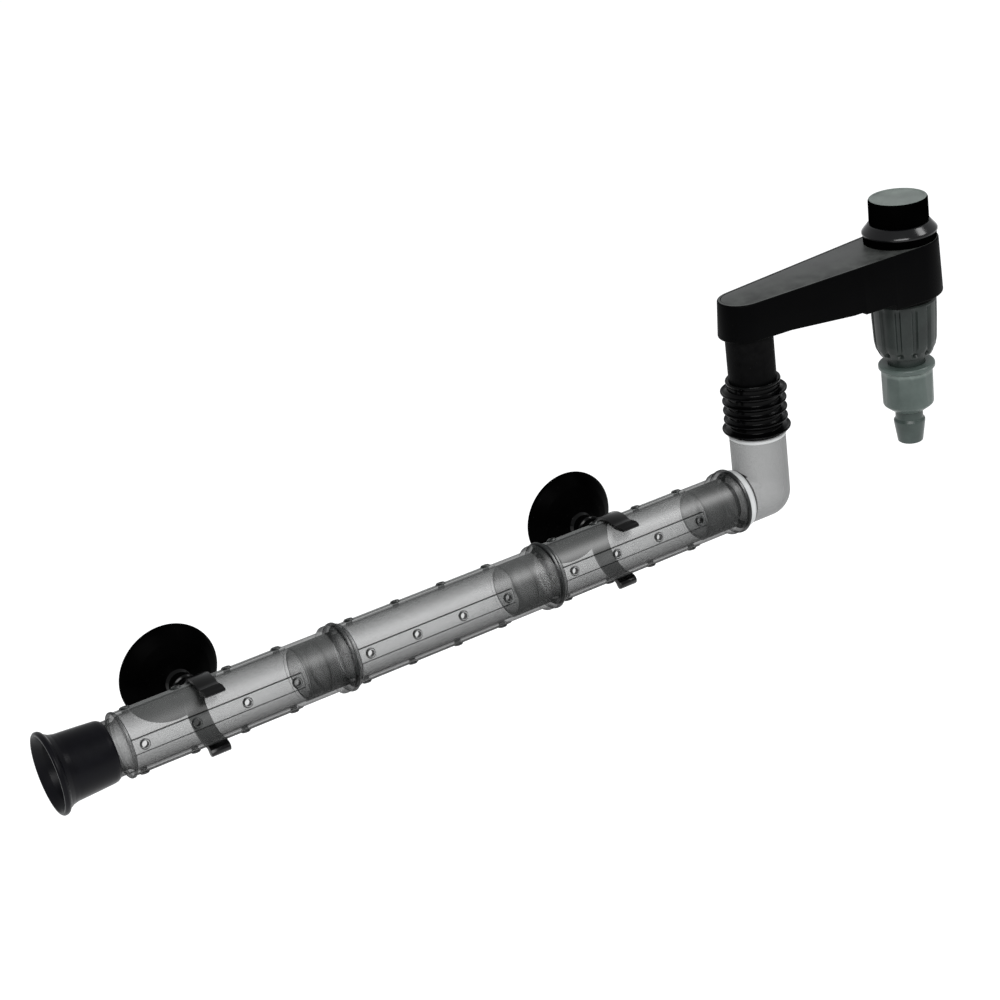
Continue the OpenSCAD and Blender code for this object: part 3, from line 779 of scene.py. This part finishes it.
def build_section(mouth):
    x0 = mouth - L
    prof = [(9.2, -19.5, 0.15), (10.3, -19.5, 0.2), (10.7, -19.0, 0.2), (10.7, -11.8), (9.75, -11.8), (9.75, -10.2),
            (10.7, -10.2), (10.7, 0.0), (12.5, 0.0, 0.3), (12.8, 0.35, 0.3), (12.8, 1.2, 0.3), (12.5, 1.5, 0.3),
            (12.1, 1.75, 0.3), (12.0, 2.4, 0.4), (12.0, L - 6.0, 0.6), (12.5, L - 5.6, 0.5), (13.35, L - 4.8, 0.5),
            (13.5, L - 4.2, 0.4), (13.5, L - 2.5, 0.3), (13.1, L - 2.15, 0.1), (13.1, L - 1.8, 0.1),
            (13.8, L - 1.5, 0.25), (13.9, L - 1.1, 0.2), (13.9, L - 0.4, 0.3), (13.6, L, 0.25), (10.75, L, 0.2),
            (10.75, L - 20.0), (10.45, L - 20.3), (10.45, 2.5), (9.2, 1.0)]
    ob = revolve("tube", prof, "x", (x0, 0, 0), 128, True, 4)
    z0 = HOLE_P * 3
    for kind in ("strip", "groove", "boss", "hole"):
        verts, faces = [], []
        for turn in (0, 90, -90):                   # front row (-Y, raised), below, on top
            az = math.radians(180 - 17 + turn)
            for part in ([0] if kind == "strip" else range(2) if kind == "groove" else range(4)):
                base = len(verts)
                if kind == "groove":
                    t = az + (2.8 / 12.2 + 0.012) * (1 if part else -1)
                    tri = [(t - 0.034, 12.45), (t + 0.034, 12.45), (t, 11.5)]
                    for x in (FIRST - 4.3, FIRST + z0 + 2.7):
                        for a, r in tri:
                            verts.append(row(x0 + x, r * math.cos(a), r * math.sin(a)))
                    b = base
                    faces += [(b, b + 1, b + 2), (b + 3, b + 5, b + 4), (b, b + 3, b + 4, b + 1),
                              (b + 1, b + 4, b + 5, b + 2), (b + 2, b + 5, b + 3, b)]
                    continue
                if kind == "strip":
                    half, na = 2.8 / 12.2, 8
                    xs = [FIRST - 4.6, FIRST - 4.2, FIRST + z0 + 2.6, FIRST + z0 + 3.0]
                    rs = [12.05, 12.34, 12.34, 12.05]
                    for xi, x in enumerate(xs):
                        for i in range(na + 1):
                            t = az + half * (2 * i / na - 1)
                            r = 12.34 if 0 < i < na else 12.26
                            r = min(r, rs[xi])
                            verts.append(row(x0 + x, r * math.cos(t), r * math.sin(t)))
                        for i in range(na + 1):
                            t = az + half * (1 - 2 * i / na)
                            verts.append(row(x0 + x, 11.5 * math.cos(t), 11.5 * math.sin(t)))
                    n = 2 * (na + 1)
                    for q in range(len(xs) - 1):
                        for i in range(n):
                            j = (i + 1) % n
                            faces.append((base + q * n + i, base + q * n + j, base + (q + 1) * n + j, base + (q + 1) * n + i))
                    faces.append(tuple(base + i for i in range(n))[::-1])
                    faces.append(tuple(base + (len(xs) - 1) * n + i for i in range(n)))
                    continue
                x = FIRST + part * HOLE_P
                seg = 32
                if kind == "boss":
                    pr = [(0.0, 10.95), (2.1, 10.95), (2.1, 12.36), (1.95, 12.5), (1.72, 12.84), (1.6, 12.95), (0.0, 12.95)]
                else:
                    pr = [(0.0, 8.0), (1.3, 8.0), (1.3, 12.86), (1.42, 13.05), (1.42, 14.5), (0.0, 14.5)]
                ids = []
                c, s = math.cos(az), math.sin(az)
                for r, h in pr:
                    ring = []
                    for i in range(1 if r == 0 else seg):
                        t = 2 * math.pi * i / seg
                        u, w = r * math.cos(t), r * math.sin(t)
                        ring.append(len(verts))
                        verts.append(row(x0 + x + u, h * c - w * s, h * s + w * c))
                    ids.append(ring)
                for a, b in zip(ids, ids[1:]):
                    for i in range(seg):
                        j = (i + 1) % seg
                        if len(a) == 1:
                            faces.append((a[0], b[j], b[i]))
                        elif len(b) == 1:
                            faces.append((a[i], a[j], b[0]))
                        else:
                            faces.append((a[i], a[j], b[j], b[i]))
        tool = link("tool", verts, faces)
        fix_normals(tool)
        cut(ob, tool, "DIFFERENCE" if kind in ("hole", "groove") else "UNION")
    shade(ob, 30)
    paint(ob, "smoke", "smoke_painted_shade", "smoke_strip", "smoke_spigot_painted_shade")
    axis = row(0, 0, 0)
    for p in ob.data.polygons:                 # painted shade on side walls of strips and bosses and on rings by the mouth and shoulder
        y, z = p.center.y - axis.y, p.center.z - axis.z
        d = math.hypot(y, z)
        out = (p.normal.y * y + p.normal.z * z) / d
        x = (p.center.x - row(x0, 0, 0).x) * 1000
        if x < -0.2 and d > 0.0091:            # the spigot sits in the next socket: painted shade on its outer wall, darker on its end face
            if x < -18.6:
                p.material_index = 1
            elif out > 0.5:
                p.material_index = 3
        elif d > 0.0105 and 2.0 < x < L - 6.2 and abs(out) < 0.85:
            p.material_index = 1               # painted shade on walls of holes and grooves too
        elif d > 0.01226 and 1.6 < x < L - 6.2:
            p.material_index = 2               # faces of strips and bosses
        elif d > 0.01305 and (x > L - 2.2 or x < 1.6) or -0.2 < x < 1.7 and d > 0.0121:
            p.material_index = 1
        elif x > L - 5.9 and d > 0.0121:       # painted shade on the thick shoulder of the socket, where the spigot sits inside
            p.material_index = 3
    return ob


first = build_section(-16.0)
first.name = "tube_right"
finish_piece(first, None, "section_right", "smoke", "spray_section_right")
for i, side in ((1, "middle"), (2, "left")):
    me = first.data.copy()
    me.transform(Matrix.Translation((-PITCH * i / 1000.0, 0, 0)))
    ob = bpy.data.objects.new("tube_" + side, me)
    scene.collection.objects.link(ob)
    finish_piece(ob, None, "section_" + side, "smoke", "spray_section_" + side)

BAR_END = -16.0 - 3 * PITCH + GAP
NOZ = BAR_END - 4.2
E = -23.8
nozzle = revolve("nozzle_flared", [
    (10.75, 0.0, 0.2), (11.2, 0.0, 0.25), (11.8, -1.1, 0.5), (12.0, -2.2, 1.0), (12.4, -8, 4), (12.9, E + 7, 3),
    (13.4, E + 4.9, 1.5), (14.5, E + 3.0, 1.2), (15.5, E + 2.3, 0.5), (15.9, E + 1.6, 0.5), (15.9, E + 0.7, 0.4),
    (15.4, E + 0.1, 0.4), (14.6, E + 0.1, 0.5), (13.6, E + 1.4, 1.5), (12.3, E + 3.4, 2), (11.4, E + 6.4, 1.5),
    (10.75, E + 7.2, 0.3)], "x", (NOZ, 0, 0), 144, True, 6, 50)
finish_piece(nozzle, "nozzle", "nozzle", "nozzle", "trumpet_nozzle")


# -------------------------------------------------------------- clips and cups
CLIP_R, CLIP_T, STUD = 12.42, 1.7, 1.4
CX = (-16.0 - L + FIRST + 1.5 * HOLE_P - 2.8, -16.0 - 2 * PITCH - L + FIRST + 1.5 * HOLE_P - 1.2)


def polar(deg, a, t):
    c, s = math.cos(math.radians(deg)), math.sin(math.radians(deg))
    r = CLIP_R + a
    return (r * c - t * s, r * s + t * c)


def clip_outline():
    ro, up, low = CLIP_R + CLIP_T, 112.0, -100.0
    pts = []

    def arc(a, b, r, n):
        for i in range(n + 1):
            t = math.radians(a + (b - a) * i / n)
            pts.append((r * math.cos(t), r * math.sin(t)))

    lo_a = math.degrees(math.asin((STUD - 4.4) / ro))
    hi_a = math.degrees(math.asin((STUD + 4.4) / ro))
    arc(low + 4, lo_a, ro, 18)
    pts.extend([(17.0, STUD - 4.4), (17.0, STUD + 4.4)])
    arc(hi_a, up - 1, ro, 18)
    lip = [(1.75, 0.0), (2.2, 1.2), (2.45, 1.75), (3.0, 2.05), (2.85, 2.7), (2.95, 2.95), (3.75, 3.2), (3.55, 3.9),
           (3.65, 4.15), (4.45, 4.4), (4.2, 5.1), (4.35, 5.6), (4.25, 6.5), (3.7, 7.0), (3.2, 6.8), (0.9, 2.8), (0.3, 1.4)]
    pts.extend(polar(up, a, t) for a, t in lip)
    arc(up, low, CLIP_R, 48)
    tab = [(0.3, -1.2), (0.9, -2.5), (1.7, -3.2), (2.6, -3.55), (3.6, -3.2), (4.35, -2.5), (4.55, -1.6), (4.2, -0.7),
           (3.4, -0.15), (2.3, 0.25)]
    pts.extend(polar(low, a, t) for a, t in tab)
    return pts


def build_clip(i, side):
    pts = clip_outline()
    n = len(pts)
    verts = [row(CX[i] - 4.0, y, z) for y, z in pts] + [row(CX[i] + 4.0, y, z) for y, z in pts]
    faces = [tuple(range(n)), tuple(range(2 * n - 1, n - 1, -1))]
    faces += [(k, k + n, (k + 1) % n + n, (k + 1) % n) for k in range(n)]
    ob = link("clip", verts, faces)
    fix_normals(ob)
    bevel(ob, 0.3, 50, 2)
    stud = revolve("stud", [(0.0, 16.0), (4.2, 16.0), (4.2, 18.5, 0.3), (3.0, 18.5, 0.2), (3.0, 26.5, 0.4), (0.0, 26.5)],
                   "y", (CX[i], 0, STUD), 48, False, 3)
    ob = join("clip_" + side + "_moulded", [ob, stud], 35)
    finish_piece(ob, "clip", "clip_" + side, "clip", "clip_" + side)


def build_cup(i, side):
    r = 20.2
    prof = [(3.05, 18.9), (4.8, 18.9, 0.3), (5.55, 19.5, 0.4), (5.55, 20.5, 0.4), (4.9, 21.3, 0.4), (4.5, 22.2, 0.6),
            (4.5, 24.8, 0.8), (5.3, 26.4, 1.2), (7.4, 27.4, 1.5), (11, 28.5, 4), (15.2, 30.6, 4), (r - 1.6, 33.3, 1.5),
            (r - 0.5, 34.4, 0.6), (r, 35.2, 0.3), (r, 35.8, 0.15), (r - 0.25, 36, 0.1), (r - 1.6, 36, 0.1),
            (r - 2.2, 35.4, 0.4), (14.4, 32.8, 3), (10, 31.2, 2), (5, 30.5, 3), (0, 30.3), (0, 27), (3.05, 27)]
    ob = revolve("cup_" + side, prof, "y", (CX[i], 0, STUD), 144, False, 5, 50)
    paint(ob, "cup", "nub")
    for p in ob.data.polygons:                 # the neck is polished by the fingers
        if p.center.y < 0.0262:
            p.material_index = 1
    finish_piece(ob, None, "cup_" + side, "cup", "suction_cup_" + side)


for i, side in enumerate(("right", "left")):
    build_clip(i, side)
    build_cup(i, side)

# CAD nodes that stay: the small seals inside
for n in ("cap_seal", "coupler_o_ring", "union_washer", "elbow_o_ring", "section_o_ring_right", "section_o_ring_left"):
    o = frame["nodes"][n]
    o.data.materials.clear()
    o.data.materials.append(M["seal"])

# ----------------------------------------------------------------- stage, light
def build_floor():
    m, nt, sh, out = new_material("Stage_paper")
    n = noise(nt, 3.0, 3.0)
    c = ramp(nt, n.outputs["Fac"], (0.54, 0.545, 0.545), (0.57, 0.57, 0.57))
    nt.links.new(c.outputs["Color"], sh.inputs["Base Color"])
    sh.inputs["Roughness"].default_value = 0.9
    sh.inputs["Specular IOR Level"].default_value = 0.0
    sh.inputs["Emission Color"].default_value = (1, 1, 1, 1)
    sh.inputs["Emission Strength"].default_value = 0.68
    z, a = -0.36, 9.0
    ob = link("floor", [(-a, -a, z), (a, -a, z), (a, a, z), (-a, a, z)], [(0, 1, 2, 3)])
    ob.data.materials.append(m)


build_floor()

w = bpy.data.worlds.new("Studio")
scene.world = w
w.use_nodes = True
bg = w.node_tree.nodes["Background"]
bg.inputs[0].default_value = (0.97, 0.985, 1.0, 1)
bg.inputs[1].default_value = 0.62


def area(name, loc, target, size, power, size_y=None, spread_deg=None):
    d = bpy.data.lights.new(name, "AREA")
    d.energy = power
    d.shape = "RECTANGLE"
    d.size = size
    d.size_y = size_y or size
    o = bpy.data.objects.new(name, d)
    scene.collection.objects.link(o)
    o.location = loc
    o.rotation_mode = "QUATERNION"
    o.rotation_quaternion = (Vector(target) - Vector(loc)).to_track_quat("-Z", "Y")
    return o


area("Key_left", (-0.72, -1.06, 1.0), (-0.1, 0.0, 0.0), 1.0, 24.0, 0.7)
area("Rim_right", (0.59, -0.48, 0.75), (0.02, 0.0, 0.03), 0.3, 3.0, 0.3)
streak = area("Tube_streak", (0.52, -0.65, 1.19), (-0.16, 0.0, -0.05), 1.5, 330.0, 0.5)
only = bpy.data.collections.new("Tube_receivers")
for side in ("right", "middle", "left"):
    only.objects.link(bpy.data.objects["tube_" + side])
streak.light_linking.receiver_collection = only

# ---------------------------------------------------------------------- camera
cam_data = bpy.data.cameras.new("Camera")
cam = bpy.data.objects.new("Camera", cam_data)
scene.collection.objects.link(cam)
right = Vector((0.84104, -0.52566, -0.12778)).normalized()
view = Vector((0.43756, 0.79992, -0.41068)).normalized()
right = (right - view * right.dot(view)).normalized()
up = right.cross(view)
cam.matrix_world = Matrix((
    (right.x, up.x, -view.x, -0.55037),
    (right.y, up.y, -view.y, -0.67056),
    (right.z, up.z, -view.z, 0.31664),
    (0, 0, 0, 1)))
cam_data.sensor_width = 36.0
cam_data.lens = 77.55
cam_data.clip_start = 0.01
cam_data.clip_end = 50.0
scene.camera = cam
scene.cycles.transparent_max_bounces = 32
scene.view_settings.view_transform = "Standard"
